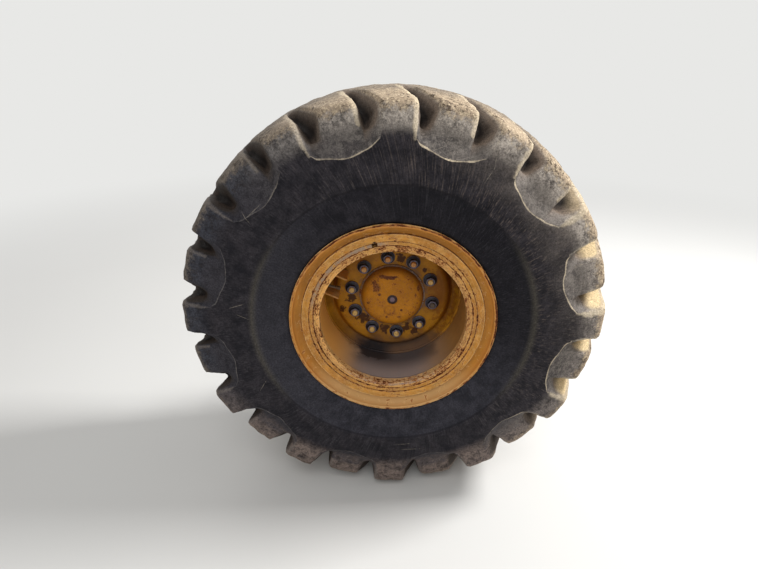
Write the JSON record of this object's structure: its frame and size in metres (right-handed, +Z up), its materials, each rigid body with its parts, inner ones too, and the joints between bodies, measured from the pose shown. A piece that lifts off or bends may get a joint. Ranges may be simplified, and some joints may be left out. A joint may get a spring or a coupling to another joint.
{
  "type": "motor grader front wheel",
  "caption": "Wide lug tyre on a multi-piece rim with a bolted disc, hub and domed cap, turning on a spindle bolted to a forked steering knuckle with a tie rod arm.",
  "frame": {"origin": "centre of the kingpin bore, where its axis crosses the wheel's axis", "axes": "+Z up along the kingpin, +X to the machine's front, -Y outboard along the wheel's axis (right-hand wheel)"},
  "size_m": [1.616, 0.7225, 1.616],
  "materials": {
    "tyre": "dusty black rubber",
    "paint": "worn mustard paint with rust and dirt",
    "hub": "painted casting, worn",
    "casting": "painted casting, worn",
    "studs": "plated steel, dull",
    "nuts": "blackened steel",
    "steel": "greased steel",
    "valve": "dirty brass",
    "bronze": "bearing bronze",
    "plug": "rusty steel",
    "seal": "black rubber"
  },
  "bodies": {
    "knuckle": {"spindle": "steel", "spindle_bolts": "steel", "knuckle": "casting", "kingpin_bushings": "bronze", "steering_arm": "casting", "arm_bolts": "steel"},
    "wheel": {"tyre": "tyre", "rim_base": "paint", "outer_flange": "paint", "inner_flange": "paint", "bead_seat_band": "paint", "lock_ring": "paint", "wheel_disc": "paint", "valve_guard": "paint", "valve_stem": "valve", "hub": "hub", "hub_cap": "paint", "cap_plug": "plug", "hub_seal": "seal", "wheel_studs": "studs", "wheel_nuts": "nuts"}
  },
  "joints": [
    {"name": "wheel_spin", "type": "hinge", "parent": "knuckle", "child": "wheel", "pos_m": [0, -0.356, 0], "axis": [0, 1, 0], "continuous": true}
  ]
}
